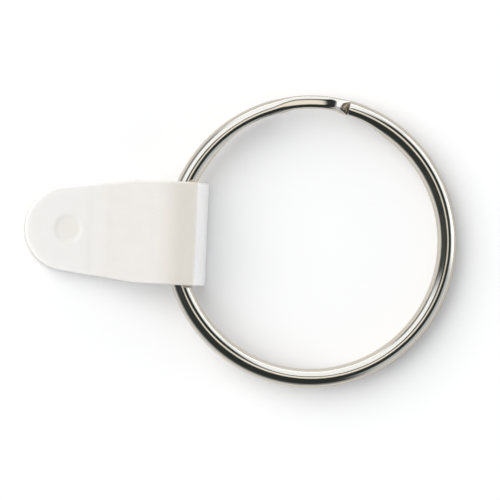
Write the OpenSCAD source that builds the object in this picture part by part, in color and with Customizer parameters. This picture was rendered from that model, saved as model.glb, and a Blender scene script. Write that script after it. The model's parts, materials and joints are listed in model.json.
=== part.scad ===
// Split key ring with a snap strap, lying on a table.
//
// One steel wire is wound into two turns that spring together. They are pressed half
// round, with their flat faces together, so the ring is round to the touch. Where the
// wire climbs from the lower turn to the upper one it makes a jog, with a cut end on
// each side of it, and a key is threaded on there. A moulded strap is folded round the
// wire and snaps shut on itself: a stud under its upper leaf goes through a hole in
// its lower leaf.
//
// The strap lies flat on z = 0 and points along -X. The ring leans on it, so the ring's
// far side rests on the table. The origin is below the middle of the whole object.

/* [Split ring] */
// Outer diameter of the ring
ring_od = 25; // [22:0.5:32]
// Width of the wire, across the ring's plane
wire_w = 1.6; // [1.4:0.02:1.8]
// Thickness of one half-round turn of the wire
wire_t = 0.98; // [0.92:0.02:1.1]
// Gap between the two turns
turn_gap = 0.05; // [0.03:0.01:0.1]
// Place round the ring where the wire starts to climb, in degrees
jog_at = 80.5; // [45:0.5:110]
// Length of wire over which it climbs from one turn to the other
jog_run = 5.5; // [4:0.25:8]
// Width of the wire where it climbs, pinched in from its inner edge
jog_w = 1.12; // [1.02:0.02:1.3]
// Thickness of the wire where it climbs
jog_t = 0.9; // [0.8:0.02:0.9]
// Radius of the wire's rolled edges where it climbs
jog_edge_r = 0.32; // [0.28:0.01:0.36]
// Distance of the climbing wire's outer edge inside the ring's
jog_inset = 0.02; // [0:0.01:0.1]
// Gap between each cut end and the climbing wire
end_gap = 0.8; // [0.4:0.1:2]

/* [Strap outline] */
// Width of the strap
strap_w = 8.8; // [7.6:0.1:9.6]
// Length from the swing axis to the end of the round tip
strap_len = 13.5; // [12:0.05:16]
// Length of the parallel sides, from the swing axis
straight_len = 4; // [2:0.05:5]
// Angle at which each side tapers towards the tip
taper = 7.2; // [5:0.1:10]
// Length by which the upper leaf stops short of the lower one
upper_short = 0.26; // [0:0.02:0.36]
// How far the strap has slid along the wire from the ring's middle line
strap_slid = 0.2; // [-0.4:0.05:0.4]

/* [Strap section] */
// Thickness of each leaf
leaf_t = 0.78; // [0.7:0.02:1]
// Thickness of the web that joins the leaves
web_t = 0.3; // [0.25:0.01:0.45]
// Lean of the web away from the ring's middle, from bottom to top
web_lean = 13.3; // [8:0.1:18]
// Depth of the fold line between the web and the upper leaf
fold_depth = 0.12; // [0.06:0.01:0.18]
// Gap between the leaves where they are snapped together
leaf_gap = 0.08; // [0.04:0.01:0.15]
// Clearance between the wire and the strap as the strap swings
swing_gap = 0.12; // [0.08:0.01:0.25]
// Distance from the swing axis to where the leaves come together
fold_len = 7.8; // [7:0.1:8]
// Radius of each bend in the upper leaf, on its underside
bend_r = 4; // [3:0.1:5]

/* [Snap] */
// Distance of the stud from the swing axis
stud_at = 9.57; // [9.4:0.01:10.2]
// Radius of the stud's neck
stud_r = 0.95; // [0.8:0.01:1]
// Height that the stud's head stands out round its neck
head_lip = 0.22; // [0.16:0.01:0.25]
// Thickness of the stud's head
head_t = 0.28; // [0.2:0.01:0.3]
// Clearance round the stud in its hole and its recess
snap_gap = 0.08; // [0.05:0.01:0.12]
// Depth of the sink mark over the stud
sink_depth = 0.05; // [0.02:0.01:0.08]

/* [Hidden] */
$fn = 96;
steel = [0.78, 0.77, 0.73];
milky = [0.93, 0.92, 0.9];

// --- wire ---
mid_r = (ring_od - wire_w) / 2;
level = (wire_t + turn_gap) / 2;
ring_half_h = level + wire_t / 2;
crown_z = ring_half_h - wire_w / 2;

// --- places round the ring ---
function arc_angle(run) = run / mid_r * 180 / PI;
jog_sweep = arc_angle(jog_run);
end_sweep = arc_angle(end_gap);
turn_sweep = 360 - jog_sweep - end_sweep;
jog_end = jog_at + jog_sweep;

// --- jog: an arc of pinched wire, tilted about the radius through its middle ---
jog_climb = asin(level / (mid_r * sin(jog_sweep / 2)));
jog_lap = arc_angle(0.1);

// --- swing axis: midway across what the curved wire covers inside the strap ---
wire_reach_y = strap_w / 2 + abs(strap_slid);
wire_slope = asin(wire_reach_y / mid_r);
reach_out = ring_od / 2;
reach_in = mid_r * cos(wire_slope) - wire_w / 2 / cos(wire_slope);
axis_r = (reach_out + reach_in) / 2;
wire_corner = norm([(reach_out - reach_in - wire_w) / 2, crown_z]) + wire_w / 2;
cavity_r = wire_corner + swing_gap;
axis_z = leaf_t + cavity_r;

// --- how the ring leans ---
lean = asin((axis_z - ring_half_h) / (mid_r + axis_r));
ring_z = ring_half_h + mid_r * sin(lean);
far_x = mid_r * cos(lean) + crown_z * sin(lean) + wire_w / 2;
ring_x = (axis_r * cos(lean) + strap_len - far_x) / 2;
axis_x = ring_x - axis_r * cos(lean);

// --- strap outline, seen from above: u runs from the swing axis to the tip ---
side_n = [sin(taper), cos(taper)];
taper_start = [straight_len, strap_w / 2];
tip_r = (side_n * taper_start - side_n.x * strap_len) / (1 - side_n.x);
tip_c = [strap_len - tip_r, 0];
taper_end = tip_c + tip_r * side_n;

// --- strap section, seen from the side: w is the height above the table ---
cavity_top = axis_z + cavity_r;
closed_z = leaf_t + leaf_gap;
drop = cavity_top - closed_z;
hump_c = [0, cavity_top - bend_r];
dip_c = [fold_len, closed_z + bend_r];
bend_span = norm(dip_c - hump_c);
slope = asin(2 * bend_r / bend_span) - atan2(2 * bend_r - drop, fold_len);
slope_n = [sin(slope), cos(slope)];
web_out = cavity_r + web_t;
function web_u(offset, z) = (z - axis_z) * tan(web_lean) - offset / cos(web_lean);
strap_top = cavity_top + leaf_t;
past = 2;

// --- snap ---
hole_r = stud_r + snap_gap;
head_r = stud_r + head_lip;
recess_r = head_r + 2 * snap_gap;
recess_z = (leaf_t + head_t) / 2;
head_z = recess_z - head_t - snap_gap;

// Half-round section of the upper turn: a round crown cut off by the flat face.
module half_round() {
    intersection() {
        translate([0, crown_z]) circle(wire_w / 2);
        translate([-wire_w / 2, turn_gap / 2]) square([wire_w, wire_t]);
    }
}

// Oval of four arcs: two crowned faces that run into two rolled edges.
module oval(width, thickness, edge_r) {
    edge = width / 2 - edge_r;
    face_r = (edge ^ 2 + (thickness / 2) ^ 2 - edge_r ^ 2) / (thickness - 2 * edge_r);
    face_drop = face_r - thickness / 2;
    face_x = face_r * edge / (face_r - edge_r);
    intersection() {
        translate([0, -face_drop]) circle(face_r);
        translate([0, face_drop]) circle(face_r);
        square([2 * face_x, thickness], center = true);
    }
    for (side = [-1, 1]) translate([side * edge, 0]) circle(edge_r);
}

// The upper turn of the wire, from the top of the jog round to its cut end.
module upper_turn() {
    rotate([0, 0, jog_end])
        rotate_extrude(angle = turn_sweep)
            translate([mid_r, 0]) half_round();
}

// The lower turn, from its cut end round to the foot of the jog.
module lower_turn() {
    rotate([0, 0, jog_end + end_sweep])
        rotate_extrude(angle = turn_sweep)
            translate([mid_r, 0]) mirror([0, 1]) half_round();
}

// The stretch of wire that climbs, lapped a little into both turns.
module jog() {
    rotate([0, 0, jog_at + jog_sweep / 2])
        rotate([jog_climb, 0, 0])
            rotate([0, 0, -jog_sweep / 2 - jog_lap])
                rotate_extrude(angle = jog_sweep + 2 * jog_lap)
                    translate([ring_od / 2 - jog_w / 2 - jog_inset, 0])
                        oval(jog_w, jog_t, jog_edge_r);
}

module split_ring() {
    color(steel)
        translate([ring_x, 0, ring_z])
            rotate([0, lean, 0]) {
                lower_turn();
                upper_turn();
                jog();
            }
}

// Outline of a leaf, seen from above: parallel sides, tapered sides and a round tip.
module leaf_outline() {
    half = [[-past * cavity_r, strap_w / 2], taper_start, taper_end];
    mirrored = [for (i = [len(half) - 1 : -1 : 0]) [half[i].x, -half[i].y]];
    polygon(concat(half, mirrored));
    translate(tip_c) circle(tip_r);
}

// Everything below the upper leaf's surface that lies a given rise above its underside.
module below_fold(rise) {
    difference() {
        union() {
            polygon([
                [-past * cavity_r, 0],
                [-past * cavity_r, cavity_top + rise],
                [0, cavity_top + rise],
                hump_c + (bend_r + rise) * slope_n,
                dip_c - (bend_r - rise) * slope_n,
                [fold_len, closed_z + rise],
                [strap_len + past, closed_z + rise],
                [strap_len + past, 0]
            ]);
            translate(hump_c) circle(bend_r + rise);
        }
        translate(dip_c) circle(bend_r - rise);
    }
}

// Half plane on the leaf side of the leaning web's face at a given offset from the axis.
module past_web(offset, from_z) {
    polygon([
        [web_u(offset, from_z), from_z],
        [web_u(offset, strap_top + past), strap_top + past],
        [strap_len + past, strap_top + past],
        [strap_len + past, from_z]
    ]);
}

// The folded strap, seen from the side.
module fold_section() {
    difference() {
        intersection() {
            below_fold(leaf_t);
            past_web(web_out, 0);
        }
        intersection() {
            below_fold(0);
            past_web(cavity_r, leaf_t);
        }
    }
}

// Stretch a drawing that is seen from the side across the strap's width.
module across(width) {
    rotate([90, 0, 0]) linear_extrude(width, center = true) children();
}

// Notch pressed along a fold, so that the plastic bends there.
module fold_line(z) {
    translate([web_u(web_out, z), 0, z])
        rotate([0, 45, 0])
            cube([fold_depth * sqrt(2), past * strap_w, fold_depth * sqrt(2)], center = true);
}

// Stud under the upper leaf, with a barbed head that catches in the recess.
module stud() {
    translate([stud_at, 0, head_z]) {
        cylinder(h = closed_z + leaf_t / 2 - head_z, r = stud_r);
        cylinder(h = head_t, r1 = stud_r, r2 = head_r);
    }
}

// Hole in the lower leaf, with a recess below that takes the stud's head.
module snap_hole() {
    translate([stud_at, 0, -past]) {
        cylinder(h = past + closed_z, r = hole_r);
        cylinder(h = past + recess_z, r = recess_r);
    }
}

// Shallow mark that the stud leaves in the top face as the plastic shrinks.
module sink_mark() {
    translate([stud_at, 0, closed_z + leaf_t - sink_depth]) cylinder(h = past, r = head_r);
}

// One leaf with its share of the fold: what lies under its outline between two heights.
module leaf(from_z, to_z, short) {
    intersection() {
        across(strap_w) fold_section();
        translate([-short, 0, from_z]) linear_extrude(to_z - from_z) leaf_outline();
    }
}

module strap() {
    color(milky)
        translate([axis_x, strap_slid, 0])
            mirror([1, 0, 0]) {
                difference() {
                    union() {
                        leaf(0, closed_z - leaf_gap / 2, 0);
                        leaf(leaf_t, strap_top, upper_short);
                    }
                    snap_hole();
                    sink_mark();
                    fold_line(strap_top);
                }
                stud();
            }
}

split_ring();
strap();
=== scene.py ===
# %% [markdown]
# # A key ring: a split ring and its snap strap
#
# Two pieces lie on a table: a split ring of nickel-plated steel wire, and a short milky
# plastic strap folded round the wire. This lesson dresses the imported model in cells. It
# loads the frame, skins the wire and the strap as surfaces worked out with numpy, gives
# them their materials, and lights them on a pale floor.

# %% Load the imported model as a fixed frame
import json
import math

import bmesh
import bpy
import numpy as np
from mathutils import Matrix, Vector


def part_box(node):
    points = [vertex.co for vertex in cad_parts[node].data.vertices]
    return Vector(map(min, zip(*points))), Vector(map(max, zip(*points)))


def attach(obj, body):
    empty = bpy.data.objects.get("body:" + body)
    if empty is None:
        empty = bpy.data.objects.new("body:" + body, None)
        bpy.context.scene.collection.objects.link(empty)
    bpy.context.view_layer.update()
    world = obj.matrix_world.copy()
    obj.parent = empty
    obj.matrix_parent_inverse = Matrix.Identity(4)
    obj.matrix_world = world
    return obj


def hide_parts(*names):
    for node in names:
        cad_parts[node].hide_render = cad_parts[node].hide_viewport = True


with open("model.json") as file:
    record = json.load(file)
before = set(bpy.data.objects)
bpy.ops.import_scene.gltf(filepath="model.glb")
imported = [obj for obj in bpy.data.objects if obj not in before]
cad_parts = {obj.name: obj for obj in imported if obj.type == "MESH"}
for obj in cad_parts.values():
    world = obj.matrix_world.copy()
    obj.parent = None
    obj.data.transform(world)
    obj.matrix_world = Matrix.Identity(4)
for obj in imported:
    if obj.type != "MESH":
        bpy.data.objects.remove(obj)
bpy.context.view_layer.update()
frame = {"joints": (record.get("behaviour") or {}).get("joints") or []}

# %% [markdown]
# ## Driving sizes
#
# The solids give the true sizes, so the script takes what it can from them: the strap's
# box and the axis that the strap swings about. The wire's and the fold's own sizes are
# named here once, in millimetres, and every other place follows from them.

# %% Sizes of the ring, in millimetres and degrees
MM = 0.001          # a millimetre in metres
RING_OD = 25.0
WIRE_W = 1.6        # across the wire, seen from above
WIRE_T = 0.98       # thickness of one turn
TURN_GAP = 0.05     # air between the two turns
JOG_AT = 80.5       # where the wire leaves the lower turn and climbs
JOG_RUN = 5.5       # length of the climb
JOG_T = 0.9         # thickness of the wire on the climb
END_GAP = 0.8       # from the climb to each cut end

mid_r = (RING_OD - WIRE_W) / 2
level = (WIRE_T + TURN_GAP) / 2
ring_half_h = level + WIRE_T / 2
crown_z = ring_half_h - WIRE_W / 2
jog_sweep = math.degrees(JOG_RUN / mid_r)
end_sweep = math.degrees(END_GAP / mid_r)
turn_sweep = 360 - jog_sweep - end_sweep
print("mean radius", mid_r, "mm, each turn sweeps", round(turn_sweep, 1), "degrees")

# %% Sizes of the strap, in millimetres and degrees
LEAF_T = 0.78                   # thickness of a leaf
LEAF_GAP = 0.08                 # air between the leaves in the closed part
WEB_T = 0.3                     # thickness of the web that joins the leaves
WEB_LEAN = math.radians(13.3)
FOLD_LEN = 7.8                  # from the swing axis to the closed part
BEND_R = 4.0                    # of the upper leaf's underside, over the hump and in the dip
STRAIGHT_LEN = 4.0              # of the outline's straight sides, from the swing axis
TAPER = math.radians(7.2)
UPPER_SHORT = 0.26              # by which the upper leaf is the shorter
STUD_AT = 9.57                  # from the swing axis to the middle of the stud
STUD_R = 0.95
HEAD_LIP = 0.22                 # by which the stud's head stands out from its neck
HEAD_T = 0.28
SNAP_GAP = 0.08                 # air round the stud's neck and its head

strap_low, strap_high = (np.array(corner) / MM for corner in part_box("strap"))
axis_x, _, axis_z = np.array(frame["joints"][0]["pos_m"]) / MM
strap_w = strap_high[1] - strap_low[1]
strap_y = (strap_high[1] + strap_low[1]) / 2
strap_len = axis_x - strap_low[0]
strap_top = strap_high[2]
cavity_top = strap_top - LEAF_T
cavity_r = cavity_top - axis_z
closed_z = LEAF_T + LEAF_GAP
print("strap", np.round([strap_len, strap_w, strap_top], 3), "mm, axis height", round(axis_z, 3))

# %% Lean of the ring, and where its middle lies
wire_slope = math.asin((strap_w / 2 + abs(strap_y)) / mid_r)
reach_in = mid_r * math.cos(wire_slope) - WIRE_W / 2 / math.cos(wire_slope)
axis_r = (RING_OD / 2 + reach_in) / 2
lean = math.asin((axis_z - ring_half_h) / (mid_r + axis_r))
ring_x = axis_x + axis_r * math.cos(lean)
ring_z = ring_half_h + mid_r * math.sin(lean)
print("the ring leans", round(math.degrees(lean), 2), "degrees, middle at", round(ring_x, 3), "mm")

# %% [markdown]
# ## From a grid of points to a mesh
#
# Every new piece is a surface on a grid: one way runs along the piece and the other goes
# round its section. The faces come from index arithmetic on whole arrays. Where a row of
# the grid shrinks to one point, its points are merged, which closes the surface there.

# %% Helpers that skin a grid of points
UV_MAP = "along_mm"
MERGE_WITHIN = 1e-8     # metres


def smoothstep(t):
    """Rise from 0 to 1: three t squared less two t cubed, with t held between 0 and 1."""
    t = np.clip(t, 0.0, 1.0)
    return t * t * (3 - 2 * t)


def skin(name, grid, along):
    """Mesh object over a grid of points in millimetres, closed round its second axis.

    Point (i, j) joins (i+1, j), (i+1, j+1) and (i, j+1) in one quad, and the last j joins
    the first. The UV map holds the distance along the piece and the distance round its
    section, both in millimetres.
    """
    rows, cols = grid.shape[:2]
    i, j = np.meshgrid(np.arange(rows - 1), np.arange(cols), indexing="ij")
    corner_i = np.stack([i, i + 1, i + 1, i], axis=-1).reshape(-1, 4)
    corner_j = np.stack([j, j, j + 1, j + 1], axis=-1).reshape(-1, 4)
    faces = corner_i * cols + corner_j % cols
    mesh = bpy.data.meshes.new(name)
    mesh.from_pydata((grid.reshape(-1, 3) * MM).tolist(), [], faces.tolist())
    closed = np.concatenate([grid, grid[:, :1]], axis=1)
    steps = np.linalg.norm(np.diff(closed, axis=1), axis=2)
    girth = np.concatenate([np.zeros((rows, 1)), np.cumsum(steps, axis=1)], axis=1)
    uv = np.stack([along[corner_i], girth[corner_i, corner_j]], axis=-1)
    layer = mesh.uv_layers.new(name=UV_MAP)
    layer.data.foreach_set("uv", uv.reshape(-1).astype(np.float32))
    merge_and_turn_out(mesh)
    piece = bpy.data.objects.new(name, mesh)
    bpy.context.scene.collection.objects.link(piece)
    return piece


def merge_and_turn_out(mesh):
    """Merge points that coincide, so that poles close, then point every face outwards."""
    work = bmesh.new()
    work.from_mesh(mesh)
    bmesh.ops.remove_doubles(work, verts=work.verts, dist=MERGE_WITHIN)
    bmesh.ops.recalc_face_normals(work, faces=work.faces)
    work.to_mesh(mesh)
    work.free()
    mesh.shade_smooth()


print("grid helpers ready, their UV map is called", UV_MAP)

# %% [markdown]
# ## The wire
#
# A split ring is one wire wound twice. It is pressed half round, so each turn is a D lying
# on its flat side, and the two flats meet. Where the wire climbs from the lower turn to the
# upper one it has no partner above or below, and there it is a plain pinched oval. The
# wire could be two rings and a patch, but one sweep keeps it one piece of metal, with
# smooth passages in and out of the climb.

# %% Places along the wire, in degrees round the ring
lower_end = JOG_AT + jog_sweep + end_sweep
climb_from = JOG_AT + 360
climb_to = climb_from + jog_sweep
upper_end = climb_to + turn_sweep
TURN_ROWS = 600
JOG_ROWS = 110
CAP_ROWS = 5        # from the middle of a cut face to its rim
END_ROWS = 7        # over the rounded rim
END_ROUND = 0.13    # radius of that rim


def cut_end(at, inward):
    """Rows at a cut end, from the middle of the cut face out to the full section.

    The face is rows at one angle whose scale grows from nothing. The rounded rim is a
    quarter circle: the row moves inwards by one minus the sine of an angle while its scale
    grows with the cosine.
    """
    rim_scale = 1 - END_ROUND / (WIRE_W / 2)
    turn = np.linspace(math.pi / 2, 0, END_ROWS)
    rim_at = at + inward * np.degrees(END_ROUND * (1 - np.sin(turn)) / mid_r)
    rim = rim_scale + (1 - rim_scale) * np.cos(turn)
    face = np.linspace(0, rim_scale, CAP_ROWS, endpoint=False)
    return np.r_[np.full(CAP_ROWS, at), rim_at], np.r_[face, rim]


start_at, start_scale = cut_end(lower_end, 1)
stop_at, stop_scale = cut_end(upper_end, -1)
rows_at = np.concatenate([
    start_at,
    np.linspace(start_at[-1], climb_from, TURN_ROWS)[1:],
    np.linspace(climb_from, climb_to, JOG_ROWS)[1:],
    np.linspace(climb_to, stop_at[-1], TURN_ROWS)[1:-1],
    stop_at[::-1],
])
rows_scale = np.ones(len(rows_at))
rows_scale[:len(start_scale)] = start_scale
rows_scale[-len(stop_scale):] = stop_scale[::-1]
print(len(rows_at), "rows along", round(math.radians(upper_end - lower_end) * mid_r, 1), "mm of wire")

# %% Sections of the wire
SECTION_POINTS = 64
CORNER_SHARPNESS = 16   # power of the norm that rounds the D's corners
CLIMB_W = 1.12          # across the wire on the climb
OVAL_POWER = 3.2        # 2 would be an ellipse, and more is squarer


def half_round_radius(turn):
    """Distance from the middle of the upper turn's section to its surface.

    A round crown and a flat underside each give a distance along the ray. Their p-norm
    takes the nearer of the two and rounds the corner between them.
    """
    drop = crown_z - level
    radius = WIRE_W / 2
    crown = drop * np.sin(turn) + np.sqrt(radius ** 2 - (drop * np.cos(turn)) ** 2)
    flat = WIRE_T / 2 / np.maximum(-np.sin(turn), 1e-6)
    return (crown ** -CORNER_SHARPNESS + flat ** -CORNER_SHARPNESS) ** (-1 / CORNER_SHARPNESS)


def oval_radius(turn):
    """Distance from the middle of the climbing wire to its surface, a superellipse."""
    across = np.abs(np.cos(turn)) / (CLIMB_W / 2)
    up = np.abs(np.sin(turn)) / (JOG_T / 2)
    return (across ** OVAL_POWER + up ** OVAL_POWER) ** (-1 / OVAL_POWER)


section_turn = np.linspace(0, 2 * math.pi, SECTION_POINTS, endpoint=False)
upper_section = half_round_radius(section_turn)
lower_section = half_round_radius(-section_turn)
jog_section = oval_radius(section_turn)
print("section reaches", round(upper_section.max(), 3), "mm from its middle")

# %% Inner flank of the turns
FLANK_FULL = 1.3                # a reach beyond the section, which leaves it as it is
FLANK_NEAR_JOG = 0.47
FLANK_EAST = (40.0, 72.0)       # angles between which the flank is pressed in
FLANK_WEST = (172.0, 118.0)
FLANK_SHARPNESS = 12
TINY = 1e-9                     # keeps a negative power off zero


def inner_flank(at):
    """Reach of the wire's inner flank. It is pressed in towards the climb on both sides."""
    place = np.mod(at, 360)
    east = smoothstep((place - FLANK_EAST[0]) / (FLANK_EAST[1] - FLANK_EAST[0]))
    west = smoothstep((place - FLANK_WEST[0]) / (FLANK_WEST[1] - FLANK_WEST[0]))
    near = np.where(place < JOG_AT + jog_sweep / 2, east, west)
    return FLANK_FULL + (FLANK_NEAR_JOG - FLANK_FULL) * near


def held_inward(x):
    """Places on the inner side of the section, held to the flank's reach.

    The place and the reach are joined by a p-norm, which takes the lesser and rounds the
    corner between them.
    """
    reach = inner_flank(rows_at)[:, None] * rows_scale[:, None] + TINY
    inward = np.maximum(-x, TINY)
    return -(inward ** -FLANK_SHARPNESS + reach ** -FLANK_SHARPNESS) ** (-1 / FLANK_SHARPNESS)


print("inner flank held to", round(inner_flank(climb_from), 2), "mm at the climb")

# %% Height of the climb
CLIMB_POWER = 11.0      # more is steeper at first
CLIMB_START = 0.1       # share of the climb over which its slope sets in
CLIMB_EARLY = 3.6       # degrees by which it starts sooner, almost at the upper cut end


def climb_share(t):
    """Share of the rise that is done, and its rate, after a share t of the climb's length.

    The wire rises steeply and then eases on to the lower turn's back. With s the square of
    t over the sum of t and a small start, scaled to end at 1, the share is one less a power
    of one less s.
    """
    t = np.clip(t, 0.0, 1.0)
    s = t * t / (t + CLIMB_START) * (1 + CLIMB_START)
    s_rate = t * (t + 2 * CLIMB_START) / (t + CLIMB_START) ** 2 * (1 + CLIMB_START)
    return 1 - (1 - s) ** CLIMB_POWER, CLIMB_POWER * (1 - s) ** (CLIMB_POWER - 1) * s_rate


risen, rising = climb_share((rows_at - climb_from + CLIMB_EARLY) / (jog_sweep + CLIMB_EARLY))
rows_z = level * (2 * risen - 1)
rows_slope = rising * 2 * level / math.radians(jog_sweep + CLIMB_EARLY) / mid_r
print("the wire climbs at up to", round(math.degrees(math.atan(rows_slope.max())), 1), "degrees")

# %% Sweep of the whole wire
PASSAGE = 5.0           # degrees over which the lower turn's section becomes the oval
PASSAGE_BEFORE = 0.7    # share of that passage before the climb
UPPER_PASSAGE = 12.0    # degrees over which the oval becomes the upper turn's section
UPPER_BEFORE = 0.75     # share of that passage before the climb's end
CLIMB_INSET = 0.05      # of the climb's outer side from the ring's outline
CLIMB_ROLL = math.radians(5)


def wire_grid():
    """Points of the wire: a section carried round two turns and over the climb.

    The middle line keeps to the turns' mean radius and moves out a little on the climb.
    Its height goes from minus one level to plus one level as it climbs. The section is a
    sum of the lower turn's, the oval and the upper turn's, by weights that change smoothly
    at each end of the climb. It stands square to the middle line. The inner side of the
    turns is held to the flank's reach, and the oval is rolled by a few degrees.
    """
    is_lower = 1 - smoothstep((rows_at - climb_from) / PASSAGE + PASSAGE_BEFORE)[:, None]
    is_upper = smoothstep((rows_at - climb_to) / UPPER_PASSAGE + UPPER_BEFORE)[:, None]
    is_jog = 1 - is_lower - is_upper
    jog_radius = RING_OD / 2 - CLIMB_W / 2 - CLIMB_INSET
    angle = np.radians(rows_at)
    out = np.stack([np.cos(angle), np.sin(angle), np.zeros_like(angle)], axis=1)
    middle = out * (mid_r + is_jog * (jog_radius - mid_r))
    middle[:, 2] = rows_z
    ahead = np.stack([-np.sin(angle), np.cos(angle), rows_slope], axis=1)
    ahead /= np.linalg.norm(ahead, axis=1, keepdims=True)
    up = np.cross(out, ahead)
    reach = is_lower * lower_section + is_jog * jog_section + is_upper * upper_section
    reach = reach * rows_scale[:, None]
    x = reach * np.cos(section_turn)
    z = reach * np.sin(section_turn)
    x = np.where(x < 0, (1 - is_jog) * held_inward(x) + is_jog * x, x)
    roll = is_jog * CLIMB_ROLL
    x, z = x * np.cos(roll) + z * np.sin(roll), z * np.cos(roll) - x * np.sin(roll)
    return middle[:, None] + x[..., None] * out[:, None] + z[..., None] * up[:, None]


def lean_over(points):
    """Turn points of the ring about Y by its lean, then move them to the ring's middle."""
    x, y, z = np.moveaxis(points, -1, 0)
    return np.stack([
        x * math.cos(lean) + z * math.sin(lean) + ring_x,
        y,
        z * math.cos(lean) - x * math.sin(lean) + ring_z,
    ], axis=-1)


wire = skin("wire", lean_over(wire_grid()), np.radians(rows_at) * mid_r)
print("wire:", len(wire.data.polygons), "faces")

# %% [markdown]
# ## The strap
#
# The strap was moulded flat and folded over. Seen from the side it is a band that runs from
# the lower tip to the web, up the web, and over a hump down to the upper tip. It could be
# a thick sheet from Solidify, but the web is thinner than the leaves. So two section
# curves are worked out, one for the outer skin and one for the inner, with the same
# number of points, and the outline gives each pair of points its width.

# %% Outline of a leaf
side_n = np.array([math.sin(TAPER), math.cos(TAPER)])
taper_start = np.array([STRAIGHT_LEN, strap_w / 2])
tip_r = (side_n @ taper_start - side_n[0] * strap_len) / (1 - side_n[0])
tip_x = strap_len - tip_r
taper_end = np.array([tip_x, 0.0]) + tip_r * side_n


def half_width(u):
    """Half width of a leaf at a distance u from the axis: straight, taper, then a circle."""
    taper = taper_start[1] - (u - STRAIGHT_LEN) * math.tan(TAPER)
    tip = np.sqrt(np.maximum(tip_r ** 2 - (u - tip_x) ** 2, 0))
    return np.select([u < STRAIGHT_LEN, u < taper_end[0]], [taper_start[1], taper], tip)


def depth_inside(u, y):
    """Distance from a point of a leaf to the leaf's outline, for the rounded edges.

    It is the lesser of the distances to the straight side and to the tapered side. Where
    the point's own direction from the tip's middle meets the round tip, it is the radius
    less the distance from that middle.
    """
    y = np.abs(y)
    depth = np.minimum(taper_start[1] - y, side_n @ taper_start - side_n[0] * u - side_n[1] * y)
    in_tip = np.arctan2(y, u - tip_x) < math.pi / 2 - TAPER
    return np.clip(np.where(in_tip, tip_r - np.hypot(u - tip_x, y), depth), 0, None)


print("round tip of", round(tip_r, 3), "mm, from", np.round(taper_end, 3))

# %% Bends of the fold and lean of the web
hump_c = np.array([0.0, cavity_top - BEND_R])
dip_c = np.array([FOLD_LEN, closed_z + BEND_R])
bend_span = np.linalg.norm(dip_c - hump_c)
fall = (math.asin(2 * BEND_R / bend_span)
        - math.atan2(2 * BEND_R - (cavity_top - closed_z), FOLD_LEN))
web_out = cavity_r + WEB_T


def web_u(offset, z):
    """Place of the leaning web's face at a height, for a given offset from the axis."""
    return (z - axis_z) * math.tan(WEB_LEAN) - offset / math.cos(WEB_LEAN)


print("the upper leaf falls at", round(math.degrees(fall), 1), "degrees, web foot at",
      round(web_u(web_out, 0), 3), "mm")

# %% Legs, arcs and eased corners
def leg(start, stop, count):
    """Points of a straight leg, without its last one."""
    t = np.linspace(0, 1, count, endpoint=False)[:, None]
    return np.asarray(start) * (1 - t) + np.asarray(stop) * t


def bend(centre, radius, start, stop, count):
    """Points of an arc about a centre, from one angle to another, without its last one."""
    turn = np.linspace(start, stop, count, endpoint=False)
    return np.asarray(centre) + radius * np.stack([np.cos(turn), np.sin(turn)], axis=1)


def eased(before, corner, after, radius, count):
    """Arc that eases a corner: it touches both legs, and its points turn evenly.

    With a the angle between the legs, the arc's centre lies on their bisector at the
    radius over the sine of half of a.
    """
    to_before = (before - corner) / np.linalg.norm(before - corner)
    to_after = (after - corner) / np.linalg.norm(after - corner)
    half = math.acos(to_before @ to_after) / 2
    centre = corner + (to_before + to_after) / np.linalg.norm(to_before + to_after) * (
        radius / math.sin(half))
    first = corner + to_before * radius / math.tan(half) - centre
    last = corner + to_after * radius / math.tan(half) - centre
    sweep = math.pi - 2 * half
    t = np.linspace(0, 1, count)[:, None]
    return centre + (np.sin((1 - t) * sweep) * first + np.sin(t * sweep) * last) / math.sin(sweep)


print("legs, arcs and eased corners ready")

# %% Section curves of the fold
OUTER_CORNER = 0.14     # radius where a leaf turns into the web, on the outer skin
INNER_CORNER = 0.1
TIP_ROWS = 56
TAPER_ROWS = 34
STRAIGHT_ROWS = 24
CORNER_ROWS = 8
WEB_ROWS = 16
HUMP_START_ROWS = 8
BEND_ROWS = 30
SLOPE_ROWS = 16
CLOSED_ROWS = 20


def outline_stations(short):
    """Distances from the axis at which the round tip is met, from its end inwards.

    Even steps of angle, because even steps of length would leave the end of a circle flat.
    """
    turn = np.linspace(0, math.pi / 2 - TAPER, TIP_ROWS, endpoint=False)
    return tip_x + tip_r * np.cos(turn) - short


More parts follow.
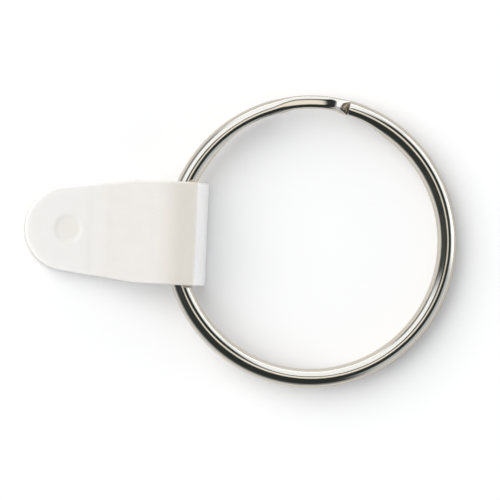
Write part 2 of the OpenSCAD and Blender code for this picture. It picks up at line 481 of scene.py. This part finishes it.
def section_curve(offset, low, high, corner_r):
    """Side view of one skin, from the lower tip round the fold to the upper tip.

    offset is the web face's distance from the axis, low the height of the lower leaf's
    face and high the rise of the upper leaf's face above its underside.
    """
    lower = outline_stations(0)
    upper = outline_stations(UPPER_SHORT)[::-1]
    top = cavity_top + high
    foot = np.array([web_u(offset, low), low])
    head = np.array([web_u(offset, top), top])
    lower_corner = eased(np.array([STRAIGHT_LEN, low]), foot, head, corner_r, CORNER_ROWS)
    upper_corner = eased(foot, head, np.array([0.0, top]), corner_r, CORNER_ROWS)
    hump = bend(hump_c, BEND_R + high, math.pi / 2, math.pi / 2 - fall, BEND_ROWS)
    dip = bend(dip_c, BEND_R - high, 1.5 * math.pi - fall, 1.5 * math.pi, BEND_ROWS)
    slope_from = hump_c + (BEND_R + high) * np.array([math.sin(fall), math.cos(fall)])
    flat_to = np.array([upper[0], closed_z + high])
    return np.concatenate([
        np.stack([lower, np.full_like(lower, low)], axis=1),
        leg([taper_end[0], low], [STRAIGHT_LEN, low], TAPER_ROWS),
        leg([STRAIGHT_LEN, low], lower_corner[0], STRAIGHT_ROWS),
        lower_corner,
        leg(lower_corner[-1], upper_corner[0], WEB_ROWS)[1:],
        upper_corner,
        leg(upper_corner[-1], [0.0, top], HUMP_START_ROWS)[1:],
        hump,
        leg(slope_from, dip[0], SLOPE_ROWS),
        dip,
        leg([FOLD_LEN, closed_z + high], flat_to, CLOSED_ROWS),
        np.stack([upper, np.full_like(upper, closed_z + high)], axis=1),
    ])


outer = section_curve(web_out, 0.0, LEAF_T, OUTER_CORNER)
inner = section_curve(cavity_r, LEAF_T, 0.0, INNER_CORNER)
print(len(outer), "rows round the fold")

# %% Skin of the strap
ACROSS = 71         # points across each skin
RIM = 5             # points down each side, between the skins
EDGE_ROUND = 0.15
EDGE_SHARE = 0.45   # most of the thickness that one rounded edge takes
SINK_DEPTH = 0.05   # of the sink mark over the stud
SINK_R = 1.1        # its radius, at half its depth
SINK_EDGE = 0.35    # width of its soft edge


def strap_grid():
    """Points of the strap: each row is a slice across it, with rounded edges.

    Across the slice the places follow a sine, which crowds them at the edges. A point whose
    depth inside the outline is less than the edge radius sinks from its skin towards the
    other one by the radius less the height of a quarter circle at that depth. The rims
    join the two skins straight. Over the stud the top face sinks a little, as the thick
    plastic below it shrank when it cooled: the depth ends in a smooth step.
    """
    is_upper = np.arange(len(outer)) > len(outer) // 2
    short = np.where(is_upper & (outer[:, 0] > STRAIGHT_LEN), UPPER_SHORT, 0.0)
    thick = np.linalg.norm(outer - inner, axis=1)[:, None]
    edge = np.minimum(EDGE_ROUND, EDGE_SHARE * thick)
    share = np.sin(np.linspace(-math.pi / 2, math.pi / 2, ACROSS))
    skins = []
    for own, other in ((outer, inner), (inner, outer)):
        u = own[:, 0] + short
        y = half_width(u)[:, None] * share
        depth = np.minimum(depth_inside(u[:, None], y), edge)
        sunk = edge - np.sqrt(np.maximum(edge ** 2 - (edge - depth) ** 2, 0))
        if own is outer:
            from_middle = np.hypot(own[:, :1] - STUD_AT, y)
            sink = 1 - smoothstep((from_middle - SINK_R) / SINK_EDGE + 0.5)
            sunk = sunk + is_upper[:, None] * SINK_DEPTH * sink
        place = own[:, None] + (other - own)[:, None] * (sunk / thick)[..., None]
        skins.append(np.stack([place[..., 0], y, place[..., 1]], axis=-1))
    first, second = skins[0], skins[1][:, ::-1]
    t = np.linspace(0, 1, RIM + 2)[1:-1, None]
    right = first[:, -1:] * (1 - t) + second[:, :1] * t
    left = second[:, -1:] * (1 - t) + first[:, :1] * t
    return np.concatenate([first, right, second, left], axis=1)


def strap_to_frame(points):
    """Turn (distance from the axis, y, height) into the frame: the strap points along -X."""
    u, y, z = np.moveaxis(points, -1, 0)
    return np.stack([axis_x - u, y + strap_y, z], axis=-1)


fold_run = np.r_[0, np.cumsum(np.linalg.norm(np.diff(outer, axis=0), axis=1))]
strap = skin("strap_skin", strap_to_frame(strap_grid()), fold_run)
print("strap:", len(strap.data.polygons), "faces")

# %% [markdown]
# ## The snap
#
# A stud stands under the upper leaf. Its barbed head is pushed through a hole in the
# lower leaf and catches on the ledge of a recess, where it stays clear of the table. Both
# shapes are round, so each is a profile turned about an upright line. A Boolean cuts the
# hole and joins the stud, and it is applied at once, which leaves one closed mesh.

# %% Turned shapes, cut from the strap or joined to it
ROUND_POINTS = 72
MOUTH = 0.05                        # chamfer at the recess's mouth and on the stud's head
SHARP_FROM = math.radians(50)       # an edge that turns by more stays sharp
BELOW = -1                          # a height below the strap's underside
hole_r = STUD_R + SNAP_GAP
head_r = STUD_R + HEAD_LIP
recess_r = head_r + 2 * SNAP_GAP
recess_z = (LEAF_T + HEAD_T) / 2
head_z = recess_z - HEAD_T - SNAP_GAP
in_gap = LEAF_T + LEAF_GAP / 2
in_upper_leaf = closed_z + LEAF_T / 2
stud_place = (axis_x - STUD_AT, strap_y)


def turned(name, profile, centre):
    """Closed shape: a profile of (radius, height) points turned about an upright line."""
    r, z = (part[:, None] for part in np.array(profile, dtype=float).T)
    angle = np.linspace(0, 2 * math.pi, ROUND_POINTS, endpoint=False)
    grid = np.stack([centre[0] + r * np.cos(angle), centre[1] + r * np.sin(angle),
                     z + 0 * angle], axis=-1)
    return skin(name, grid, np.linspace(0, 1, len(profile)))


def combine(piece, tool, operation):
    """Apply a Boolean of a tool shape to a piece, take the tool away, and mark sharp edges."""
    modifier = piece.modifiers.new("combine", "BOOLEAN")
    modifier.operation = operation
    modifier.solver = "EXACT"
    modifier.object = tool
    depsgraph = bpy.context.evaluated_depsgraph_get()
    mesh = bpy.data.meshes.new_from_object(piece.evaluated_get(depsgraph))
    piece.modifiers.clear()
    piece.data = mesh
    bpy.data.objects.remove(tool)
    mesh.shade_smooth()
    mesh.set_sharp_from_angle(angle=SHARP_FROM)


hole_profile = [
    (0, BELOW),
    (recess_r + MOUTH, BELOW),
    (recess_r + MOUTH, 0),
    (recess_r, MOUTH),
    (recess_r, recess_z),
    (hole_r, recess_z),
    (hole_r, in_gap),
    (0, in_gap),
]
stud_profile = [
    (0, head_z),
    (STUD_R - MOUTH, head_z),
    (STUD_R, head_z + MOUTH),
    (head_r, head_z + HEAD_T - MOUTH),
    (head_r - MOUTH / 2, head_z + HEAD_T),
    (STUD_R, head_z + HEAD_T),
    (STUD_R, in_upper_leaf),
    (0, in_upper_leaf),
]
combine(strap, turned("hole", hole_profile, stud_place), "DIFFERENCE")
combine(strap, turned("stud", stud_profile, stud_place), "UNION")
print("strap with its snap:", len(strap.data.polygons), "faces, head clear of the table by",
      round(head_z, 2), "mm")

# %% [markdown]
# ## Helpers for the materials
#
# Metal and plastic both carry fine marks that follow the piece. A texture on Object
# coordinates would cut straight through a bent wire, so the marks lie on the piece's own
# UV map, which runs along it in millimetres. Both materials use the same noise, so it is a
# node group, built once and placed in each material with its own scales.

# %% Helpers that make nodes and masks
def new_material(name):
    """Empty node material with a Principled BSDF, returned with its node tree."""
    material = bpy.data.materials.new(name)
    material.use_nodes = True
    tree = material.node_tree
    return material, tree, tree.nodes["Principled BSDF"]


def add(tree, kind, **inputs):
    """New node whose inputs are set by name, with _ for a space."""
    node = tree.nodes.new(kind)
    for key, value in inputs.items():
        node.inputs[key.replace("_", " ")].default_value = value
    return node


def maths(tree, kind, operation, *values):
    """Outputs of a maths node, whose inputs are outputs of other nodes or plain values."""
    node = tree.nodes.new(kind)
    node.operation = operation
    for place, value in enumerate(values):
        if hasattr(value, "is_linked"):
            tree.links.new(value, node.inputs[place])
        else:
            node.inputs[place].default_value = value
    return node.outputs


def product(tree, first, second):
    """Product of two masks."""
    return maths(tree, "ShaderNodeMath", "MULTIPLY", first, second)["Value"]


def ramp(tree, value, start, stop, easing="SMOOTHSTEP"):
    """Mask that goes from 0 to 1 as a value goes from start to stop."""
    node = add(tree, "ShaderNodeMapRange", From_Min=start, From_Max=stop)
    node.interpolation_type = easing
    tree.links.new(value, node.inputs["Value"])
    return node.outputs["Result"]


def from_upright(tree, place, centre):
    """Distance of a place from an upright line, given its centre in millimetres."""
    shift = (-centre[0] * MM, -centre[1] * MM, 0)
    offset = maths(tree, "ShaderNodeVectorMath", "MULTIPLY_ADD", place, (1, 1, 0), shift)
    return maths(tree, "ShaderNodeVectorMath", "LENGTH", offset["Vector"])["Value"]


print("helpers for nodes and masks ready")

# %% Helpers that put masks to use
def between(tree, mask, low, high):
    """Value that goes from low to high as a mask goes from 0 to 1."""
    node = add(tree, "ShaderNodeMapRange", To_Min=low, To_Max=high)
    tree.links.new(mask, node.inputs["Value"])
    return node.outputs["Result"]


def mixed(tree, mask, first, second):
    """Colour that goes from the first to the second as a mask goes from 0 to 1."""
    node = tree.nodes.new("ShaderNodeMix")
    node.data_type = "RGBA"
    tree.links.new(mask, node.inputs["Factor"])
    for socket, value in (("A", first), ("B", second)):
        target = next(i for i in node.inputs if i.name == socket and i.type == "RGBA")
        if hasattr(value, "is_linked"):
            tree.links.new(value, target)
        else:
            target.default_value = (*value, 1)
    return next(o for o in node.outputs if o.type == "RGBA")


def raised(tree, shader, mask, height, strength):
    """Bump of a height, in millimetres, where a mask is 1."""
    bump = add(tree, "ShaderNodeBump", Distance=height * MM, Strength=strength)
    tree.links.new(mask, bump.inputs["Height"])
    tree.links.new(bump.outputs["Normal"], shader.inputs["Normal"])


print("helpers for values, colours and bumps ready")

# %% Group of fine lines, for metal and plastic alike
LINES_SCALE = 1.0
PATCHES_SCALE = 0.2
NOISE_LOW, NOISE_HIGH = 0.36, 0.64      # noise values that are spread out over 0 to 1


def fine_lines_group():
    """Node group: noise stretched along a piece, as a mask of lines and a mask of patches.

    The coordinates are scaled by Along and Across before the noise. The patches are the
    same noise at a fifth of those scales.
    """
    group = bpy.data.node_groups.new("fine_lines", "ShaderNodeTree")
    face = group.interface
    face.new_socket(name="Vector", in_out="INPUT", socket_type="NodeSocketVector")
    face.new_socket(name="Along", in_out="INPUT", socket_type="NodeSocketFloat")
    face.new_socket(name="Across", in_out="INPUT", socket_type="NodeSocketFloat")
    face.new_socket(name="Lines", in_out="OUTPUT", socket_type="NodeSocketFloat")
    face.new_socket(name="Patches", in_out="OUTPUT", socket_type="NodeSocketFloat")
    link = group.links.new
    entry = group.nodes.new("NodeGroupInput")
    exit_ = group.nodes.new("NodeGroupOutput")
    scales = add(group, "ShaderNodeCombineXYZ", Z=1.0)
    link(entry.outputs["Along"], scales.inputs["X"])
    link(entry.outputs["Across"], scales.inputs["Y"])
    place = maths(group, "ShaderNodeVectorMath", "MULTIPLY",
                  entry.outputs["Vector"], scales.outputs["Vector"])["Vector"]
    for output, scale in (("Lines", LINES_SCALE), ("Patches", PATCHES_SCALE)):
        noise = add(group, "ShaderNodeTexNoise", Scale=scale, Detail=4.0, Roughness=0.6)
        link(place, noise.inputs["Vector"])
        link(ramp(group, noise.outputs["Fac"], NOISE_LOW, NOISE_HIGH, "LINEAR"),
             exit_.inputs[output])
    return group


def own_uv(tree):
    """The piece's own UV map: along the piece and round its section, in millimetres."""
    node = tree.nodes.new("ShaderNodeUVMap")
    node.uv_map = UV_MAP
    return node.outputs["UV"]


def place_lines(tree, uv, along, across):
    """The group in a material, with so many lines a millimetre along and across."""
    node = tree.nodes.new("ShaderNodeGroup")
    node.node_tree = fine_lines
    node.inputs["Along"].default_value = along
    node.inputs["Across"].default_value = across
    tree.links.new(uv, node.inputs["Vector"])
    return node.outputs


fine_lines = fine_lines_group()
print("fine lines group with", len(fine_lines.nodes), "nodes")

# %% [markdown]
# ## Nickel plate
#
# Nickel plate is a mirror with a warm cast. The wire was drawn through a die, which leaves
# fine lines along it, and handling dulls it in patches. A plain metal of one roughness
# would look like polished chrome, so the lines change its roughness and raise a very small
# bump, and the patches change its colour.

# %% Nickel plate
NICKEL = (0.69, 0.64, 0.555)
NICKEL_DULL = (0.64, 0.595, 0.515)
EDGE_ON_TINT = (0.8, 0.8, 0.8, 1)       # where it is seen edge on, a little less than a mirror
nickel, tree, shader = new_material("nickel_plate")
lines = place_lines(tree, own_uv(tree), along=0.25, across=9.0)
tree.links.new(mixed(tree, lines["Patches"], NICKEL, NICKEL_DULL), shader.inputs["Base Color"])
tree.links.new(between(tree, lines["Lines"], low=0.07, high=0.13), shader.inputs["Roughness"])
shader.inputs["Metallic"].default_value = 1.0
shader.inputs["Specular Tint"].default_value = EDGE_ON_TINT
raised(tree, shader, lines["Lines"], height=0.002, strength=0.35)
print("nickel plate, from", NICKEL, "to", NICKEL_DULL)

# %% [markdown]
# ## Milky plastic
#
# The strap is natural polypropylene. Light goes into it, scatters and comes out again, so
# what lies under it shows only softly. That is painted into its colour: painted shade as a
# dim band over the wire and as a warmer, darker spot over the stud, and painted light on
# the closed part of the upper leaf, where the two leaves lie together, against the darker
# colour of the rest. The bent web is painted lighter, partly as whitening by stress and
# partly as painted light carried through the plastic. Real transmission could show all
# this, but it turns so thin a shell grey, so the plastic scatters light close under its
# skin and the zones are painted. Those that follow the fold are placed by the strap's own
# UV map, and the band and the spot by how far they lie from the ring's middle and from the
# stud.

# %% Places of the painted zones, in millimetres
web_rows = np.flatnonzero((outer[:, 0] < 0) & (outer[:, 1] > OUTER_CORNER)
                          & (outer[:, 1] < strap_top - OUTER_CORNER))
web_from, web_to = fold_run[web_rows[0]], fold_run[web_rows[-1]]
closed_from = fold_run[np.argmax((fold_run > web_to) & (outer[:, 0] > FOLD_LEN))]
LEAF_STARTS = (web_to, web_to + 0.1)                            # along the strap
WEB_STARTS = (web_from - 0.1, web_from + 0.15)
WEB_ENDS = (web_to + 0.15, web_to - 0.1)
CLOSED_STARTS = (closed_from - 2.0, closed_from + 0.5)
BAND_ENDS = ((RING_OD / 2 + 0.9) * MM, (RING_OD / 2 - 0.5) * MM)    # from the ring's middle
SPOT_ENDS = ((head_r + 0.45) * MM, (STUD_R - 0.2) * MM)             # from the stud
# the web is painted lighter, partly as stress whitening and partly as painted light
print("the web is whitened from", round(web_from, 2), "to", round(web_to, 2), "mm along the strap")

# %% Milky plastic
# darker base colour of the rest of the strap, with flow marks; on the hump and slope it is painted
# shade
MILKY = (0.72, 0.70, 0.675)
MILKY_DENSE = (0.705, 0.685, 0.66)
# painted light: the closed part, where the two leaves lie together, painted lighter
CLOSED_PAINTED_LIGHT = (0.895, 0.885, 0.86)
# painted shade: a warmer, darker spot where the stud lies under the upper leaf
STUD_PAINTED_SHADE = (0.875, 0.85, 0.805)
# painted shade: the wire seen dimly through the plastic, as a darker band
WIRE_PAINTED_SHADE = (0.745, 0.71, 0.655)
# the bent web: stress whitening and painted light carried through the plastic
WHITENED_AND_PAINTED_LIGHT = (0.98, 0.965, 0.93)
milky, tree, shader = new_material("milky_plastic")
uv = own_uv(tree)
flow = place_lines(tree, uv, along=0.6, across=0.9)
grain = place_lines(tree, uv, along=14.0, across=14.0)
uv_parts = tree.nodes.new("ShaderNodeSeparateXYZ")
tree.links.new(uv, uv_parts.inputs["Vector"])
run = uv_parts.outputs["X"]
spot = tree.nodes.new("ShaderNodeTexCoord").outputs["Object"]

upper_leaf = ramp(tree, run, *LEAF_STARTS)
from_ring = from_upright(tree, spot, (ring_x, 0))
from_stud = from_upright(tree, spot, stud_place)
# mask of the painted shade where the wire lies under the upper leaf
painted_wire_shade = product(tree, upper_leaf, ramp(tree, from_ring, *BAND_ENDS, "LINEAR"))
# mask of the painted shade over the stud
painted_stud_shade = product(tree, upper_leaf, ramp(tree, from_stud, *SPOT_ENDS, "LINEAR"))
bent = product(tree, ramp(tree, run, *WEB_STARTS), ramp(tree, run, *WEB_ENDS, "LINEAR"))

colour = mixed(tree, flow["Lines"], MILKY, MILKY_DENSE)
# painted light on the closed part of the upper leaf
colour = mixed(tree, ramp(tree, run, *CLOSED_STARTS), colour, CLOSED_PAINTED_LIGHT)
colour = mixed(tree, painted_stud_shade, colour, STUD_PAINTED_SHADE)
colour = mixed(tree, painted_wire_shade, colour, WIRE_PAINTED_SHADE)
# stress whitening and painted light on the web
colour = mixed(tree, bent, colour, WHITENED_AND_PAINTED_LIGHT)
tree.links.new(colour, shader.inputs["Base Color"])
tree.links.new(between(tree, flow["Patches"], low=0.33, high=0.40), shader.inputs["Roughness"])
shader.inputs["IOR"].default_value = 1.49
shader.inputs["Subsurface Weight"].default_value = 1.0
shader.inputs["Subsurface Radius"].default_value = (1.0, 0.98, 0.92)
shader.inputs["Subsurface Scale"].default_value = 0.3 * MM
raised(tree, shader, grain["Lines"], height=0.004, strength=0.3)
print("milky plastic with", len(tree.nodes), "nodes")

# %% Put the pieces on their bodies
def dress(piece, material, body, node):
    """Give a piece its material, let it ride on its body and stand for its solid."""
    piece.data.materials.append(material)
    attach(piece, body)
    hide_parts(node)


dress(wire, nickel, "ring", "split_ring")
dress(strap, milky, "strap", "strap")
print("two pieces dressed")

# %% [markdown]
# ## Floor
#
# The floor is a wide sheet of white paper. Its colour alone makes the background white, and
# it keeps the object's soft shadow. Seen in the metal its colour is painted white close by
# and darker further out: a painted dark reflection, standing in for a dim room beyond the
# edge of a paper sheet on a studio table. Without that, the wire's sides would mirror white
# all the way to the horizon.

# %% Floor
FLOOR_HALF = 3.0                        # metres
REFLECTION_DARKENS_FROM, REFLECTION_DARK_BY = 0.012, 0.06     # metres, where it starts to darken and has darkened
WHITE = (1.0, 1.0, 1.0)
DIM = (0.3, 0.3, 0.3)
floor_mesh = bpy.data.meshes.new("floor")
floor_mesh.from_pydata(
    [(-FLOOR_HALF, -FLOOR_HALF, 0), (FLOOR_HALF, -FLOOR_HALF, 0),
     (FLOOR_HALF, FLOOR_HALF, 0), (-FLOOR_HALF, FLOOR_HALF, 0)], [], [(0, 1, 2, 3)])
floor = bpy.data.objects.new("floor", floor_mesh)
bpy.context.scene.collection.objects.link(floor)
paper, tree, shader = new_material("pale_floor")
from_middle = maths(tree, "ShaderNodeVectorMath", "LENGTH",
                    tree.nodes.new("ShaderNodeTexCoord").outputs["Object"])["Value"]
# painted reflection: the floor's colour as the metal sees it darkens with distance from the middle
painted_reflection = mixed(tree, ramp(tree, from_middle, REFLECTION_DARKENS_FROM, REFLECTION_DARK_BY, "LINEAR"), WHITE, DIM)
glossy = tree.nodes.new("ShaderNodeLightPath").outputs["Is Glossy Ray"]
tree.links.new(mixed(tree, glossy, WHITE, painted_reflection), shader.inputs["Base Color"])
shader.inputs["Roughness"].default_value = 0.9
shader.inputs["Specular IOR Level"].default_value = 0.0
floor_mesh.materials.append(paper)
print("floor", 2 * FLOOR_HALF, "m wide")

# %% [markdown]
# ## Studio dome
#
# The light is a dome in the world, worked out from the direction alone. It has two parts.
# What the paper and the plastic gather is a soft sky with a large soft panel in the west
# and a small strong one low in the east, which lights the web. What the wire mirrors is a
# set of panels: a long wall in the north for its broad white streak, a dimmer wall in the
# south-east, a glow on the horizon, and a small round one overhead for the thin line along
# its crest, all in a dim room. Area lamps could do much the same, but each is one rectangle
# or disc with a hard edge. A mask of the direction can be joined with others and softened.

# %% Masks of the dome's panels
FEATHER = 5         # degrees over which a panel's edge is soft, to each side
world = bpy.data.worlds.new("studio_dome")
bpy.context.scene.world = world
world.use_nodes = True
dome = world.node_tree
direction = dome.nodes.new("ShaderNodeTexCoord").outputs["Generated"]
direction_parts = dome.nodes.new("ShaderNodeSeparateXYZ")
dome.links.new(direction, direction_parts.inputs["Vector"])
height = direction_parts.outputs["Z"]
flattened = maths(dome, "ShaderNodeVectorMath", "MULTIPLY", direction, (1, 1, 0))["Vector"]
level_way = maths(dome, "ShaderNodeVectorMath", "NORMALIZE", flattened)["Vector"]


def cosine(degrees):
    """Cosine of an angle in degrees, which is the height of a direction at that zenith angle."""
    return math.cos(math.radians(degrees))


def along_with(way, azimuth, zenith):
    """How nearly a direction runs with the one at an azimuth and a zenith angle, in degrees.

    It is their dot product, the cosine of the angle between them.
    """
    a, z = math.radians(azimuth), math.radians(zenith)
    other = (math.sin(z) * math.cos(a), math.sin(z) * math.sin(a), math.cos(z))
    return maths(dome, "ShaderNodeVectorMath", "DOT_PRODUCT", way, other)["Value"]


def disc(azimuth, zenith, radius):
    """Mask of a round panel about a direction, soft at its rim."""
    return ramp(dome, along_with(direction, azimuth, zenith),
                cosine(radius + FEATHER), cosine(max(radius - FEATHER, 0)))


def wall(azimuth, spread, top, foot):
    """Mask of a standing panel: so far to each side of an azimuth, between two zenith angles."""
    sides = ramp(dome, along_with(level_way, azimuth, 90),
                 cosine(min(spread + 2 * FEATHER, 180)), cosine(max(spread - 2 * FEATHER, 0)))
    below_top = ramp(dome, height, cosine(top - FEATHER), cosine(top + FEATHER))
    above_foot = ramp(dome, height, cosine(foot + FEATHER), cosine(foot - FEATHER))
    return product(dome, sides, product(dome, below_top, above_foot))


def horizon_glow(top, foot):
    """Mask of a glow low all round: 0 above one zenith angle and 1 below another."""
    return ramp(dome, height, cosine(top), cosine(foot))


def either(*masks):
    """Mask that is lit where any of several masks is: their greatest value."""
    mask = masks[0]
    for other in masks[1:]:
        mask = maths(dome, "ShaderNodeMath", "MAXIMUM", mask, other)["Value"]
    return mask


print("masks ready, with edges", 2 * FEATHER, "degrees wide")

# %% Tints and strengths of the panels
WALL_TINT = (0.94, 1.0, 1.10)
OVERHEAD_TINT = (0.70, 0.68, 0.64)
DARK_TINT = (0.034, 0.043, 0.044)
SOFT_TINT = (0.965, 0.995, 1.045)
KEY_TINT = (1.03, 1.01, 0.98)
SOFT_STRENGTH = 0.46
KEY_STRENGTH = 2.24
EAST_STRENGTH = 7.2
NORTH_STRENGTH = 1.4
SOUTH_STRENGTH = 0.66
GLOW_STRENGTH = 0.5
OVERHEAD_STRENGTH = 1.75
print("the east panel is the strongest, at", EAST_STRENGTH)

# %% Panels of the dome
def scaled(tint, strength):
    """A tint times a strength."""
    return tuple(strength * part for part in tint)


def lit(light, *panels):
    """A light with panels added to it, each one a mask, a strength and a tint."""
    for mask, strength, tint in panels:
        node = dome.nodes.new("ShaderNodeVectorMath")
        node.operation = "SCALE"
        node.inputs[0].default_value = scaled(tint, strength)
        dome.links.new(mask, node.inputs["Scale"])
        light = maths(dome, "ShaderNodeVectorMath", "ADD", light, node.outputs["Vector"])["Vector"]
    return light


north_wall = either(
    wall(azimuth=128, spread=32, top=22, foot=68),
    disc(azimuth=88, zenith=50, radius=24),
    wall(azimuth=25, spread=27, top=52, foot=93),
    wall(azimuth=86, spread=40, top=50, foot=93),
)
mirrored = lit(
    DARK_TINT,
    (north_wall, NORTH_STRENGTH, WALL_TINT),
    (wall(azimuth=334, spread=34, top=45, foot=92), SOUTH_STRENGTH, WALL_TINT),
    (horizon_glow(top=68, foot=88), GLOW_STRENGTH, WALL_TINT),
    (disc(azimuth=48, zenith=10, radius=8.5), OVERHEAD_STRENGTH, OVERHEAD_TINT),
)
gathered = lit(
    scaled(SOFT_TINT, SOFT_STRENGTH),
    (disc(azimuth=156, zenith=48, radius=36), KEY_STRENGTH, KEY_TINT),
    (disc(azimuth=0, zenith=89, radius=16), EAST_STRENGTH, KEY_TINT),
)
print("panels joined, with", len(dome.nodes), "nodes")

# %% World: one light to gather, and one to mirror
soft_light = dome.nodes["Background"]
studio_light = dome.nodes.new("ShaderNodeBackground")
which = dome.nodes.new("ShaderNodeMixShader")
dome.links.new(gathered, soft_light.inputs["Color"])
dome.links.new(mirrored, studio_light.inputs["Color"])
dome.links.new(dome.nodes.new("ShaderNodeLightPath").outputs["Is Glossy Ray"], which.inputs[0])
dome.links.new(soft_light.outputs[0], which.inputs[1])
dome.links.new(studio_light.outputs[0], which.inputs[2])
dome.links.new(which.outputs[0], dome.nodes["World Output"].inputs["Surface"])
print("dome complete, with", len(dome.nodes), "nodes")

# %% [markdown]
# ## Camera
#
# The camera looks straight down. A lens near the object would show the sides of things
# that stand away from the middle, so a long lens looks from well above, and its length
# follows from the width that the frame should take in.

# %% Camera, straight above
SENSOR = 36                             # millimetres
CAMERA_HEIGHT = 0.4                     # metres
FRAME_WIDTH = 42.9 * MM
TURNED = math.radians(2.5)
LOOK_AT = ((ring_x - 5.141) * MM, -0.96 * MM)

camera_data = bpy.data.cameras.new("camera")
camera_data.sensor_width = SENSOR
camera_data.lens = SENSOR * CAMERA_HEIGHT / FRAME_WIDTH
camera_data.clip_start = 0.01
camera_data.clip_end = 10
camera = bpy.data.objects.new("camera", camera_data)
bpy.context.scene.collection.objects.link(camera)
camera.location = (*LOOK_AT, CAMERA_HEIGHT)
camera.rotation_euler = (0, 0, TURNED)
bpy.context.scene.camera = camera
bpy.context.scene.view_settings.view_transform = "Standard"
print("lens", round(camera_data.lens, 1), "mm")
